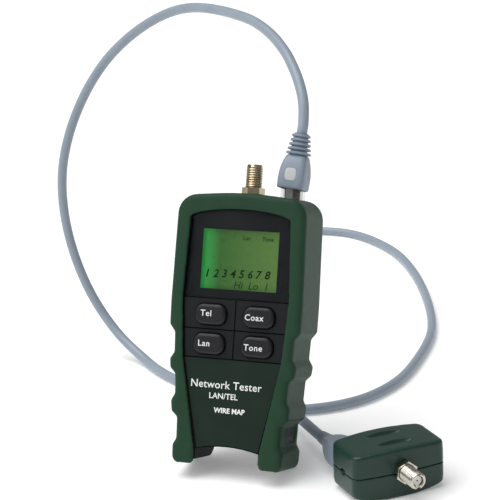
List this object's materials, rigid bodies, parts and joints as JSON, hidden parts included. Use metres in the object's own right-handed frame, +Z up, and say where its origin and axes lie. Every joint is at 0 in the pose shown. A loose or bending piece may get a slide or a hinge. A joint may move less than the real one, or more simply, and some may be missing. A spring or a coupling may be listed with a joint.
{
  "type": "network cable tester",
  "caption": "Handheld network cable tester in a ribbed rubber jacket, on its tilt stand, with a patch lead to a small remote that has a coaxial socket.",
  "frame": {"origin": "on the table under the middle of the rigid pieces, the handheld unit and the remote", "axes": "+Z up; the handheld unit faces -Y and leans back about X; +X is to its user's right, where the remote lies"},
  "size_m": [0.2973, 0.4821, 0.2325],
  "materials": {
    "jacket_rubber": "matt moulded rubber",
    "black_plastic": "fine-textured plastic",
    "label": "printed satin overlay",
    "panel_plastic": "semi-gloss plastic",
    "key_rubber": "satin silicone rubber",
    "membrane_rubber": "soft silicone",
    "clear_plastic": "clear moulded plastic",
    "display": "green lit liquid-crystal glass",
    "white_plastic": "satin",
    "circuit_board": "solder resist",
    "chip_plastic": "moulded black",
    "battery_can": "printed steel can",
    "steel": "zinc-plated",
    "brass": "dull gold plating",
    "nickel": "bright nickel plating",
    "contact_gold": "gold-plated contacts and insulated cores",
    "boot_plastic": "soft moulded vinyl",
    "cable_jacket": "satin vinyl",
    "remote_plastic": "satin moulded plastic"
  },
  "bodies": {
    "unit": {"rubber_jacket": "jacket_rubber", "front_shell": "black_plastic", "rear_shell": "black_plastic", "label_plate": "label", "keypad_frame": "panel_plastic", "key_membrane": "membrane_rubber", "display_lens": "clear_plastic", "display_mask": "panel_plastic", "lcd_module": "display", "backlight": "white_plastic", "main_board": "circuit_board", "processor_chip": "chip_plastic", "buzzer": "chip_plastic", "unit_rj45_jack": "chip_plastic", "battery_9v": "battery_can", "battery_clip": "chip_plastic", "stand_pin": "steel", "case_screw_1": "steel", "case_screw_2": "steel", "case_screw_3": "steel", "case_screw_4": "steel", "unit_coax_socket": "brass", "unit_coax_nut": "brass", "unit_coax_insulator": "white_plastic"},
    "tel_key": {"tel_key": "key_rubber"},
    "coax_key": {"coax_key": "key_rubber"},
    "lan_key": {"lan_key": "key_rubber"},
    "tone_key": {"tone_key": "key_rubber"},
    "stand": {"tilt_stand": "black_plastic"},
    "door": {"battery_door": "black_plastic"},
    "lead": {"lead_cable": "cable_jacket", "unit_boot": "boot_plastic", "unit_plug": "clear_plastic", "unit_plug_wires": "contact_gold", "unit_plug_contacts": "contact_gold", "remote_boot": "boot_plastic", "remote_plug": "clear_plastic", "remote_plug_wires": "contact_gold", "remote_plug_contacts": "contact_gold"},
    "unit_latch": {"unit_plug_latch": "clear_plastic"},
    "remote_latch": {"remote_plug_latch": "clear_plastic"},
    "remote": {"remote_top_shell": "remote_plastic", "remote_bottom_shell": "remote_plastic", "remote_coax_socket": "nickel", "remote_coax_nut": "nickel", "remote_coax_insulator": "white_plastic", "remote_rj45_jack": "chip_plastic", "remote_board": "circuit_board", "remote_chip": "chip_plastic", "remote_screw_1": "steel", "remote_screw_2": "steel"}
  },
  "joints": [
    {"name": "tel_key_press", "type": "slide", "parent": "unit", "child": "tel_key", "axis": [0, 0.9511, -0.309], "range_m": [0, 0.001], "stiffness_N_per_m": 800},
    {"name": "coax_key_press", "type": "slide", "parent": "unit", "child": "coax_key", "axis": [0, 0.9511, -0.309], "range_m": [0, 0.001], "stiffness_N_per_m": 800},
    {"name": "lan_key_press", "type": "slide", "parent": "unit", "child": "lan_key", "axis": [0, 0.9511, -0.309], "range_m": [0, 0.001], "stiffness_N_per_m": 800},
    {"name": "tone_key_press", "type": "slide", "parent": "unit", "child": "tone_key", "axis": [0, 0.9511, -0.309], "range_m": [0, 0.001], "stiffness_N_per_m": 800},
    {"name": "stand_fold", "type": "hinge", "parent": "unit", "child": "stand", "pos_m": [-0.03854, 0.02135, 0.07482], "axis": [1, 0, 0], "range_deg": [-26, 0]},
    {"name": "battery_door_open", "type": "hinge", "parent": "unit", "child": "door", "pos_m": [-0.03854, 0.0224, 0.08258], "axis": [-1, 0, 0], "range_deg": [0, 95]},
    {"name": "lead_unplug", "type": "slide", "parent": "unit", "child": "lead", "axis": [0, 0.309, 0.9511], "range_m": [0, 0.018]},
    {"name": "remote_unplug", "type": "slide", "parent": "lead", "child": "remote", "axis": [0.682, -0.7314, 0], "range_m": [0, 0.018]},
    {"name": "unit_latch_press", "type": "hinge", "parent": "lead", "child": "unit_latch", "pos_m": [-0.01534, 0.0215, 0.13482], "axis": [-1, 0, 0], "range_deg": [0, 3], "stiffness_Nm_per_rad": 0.05},
    {"name": "remote_latch_press", "type": "hinge", "parent": "lead", "child": "remote_latch", "pos_m": [0.03496, -0.02293, 0.0106], "axis": [0.7314, 0.682, 0], "range_deg": [0, 3], "stiffness_Nm_per_rad": 0.05}
  ]
}
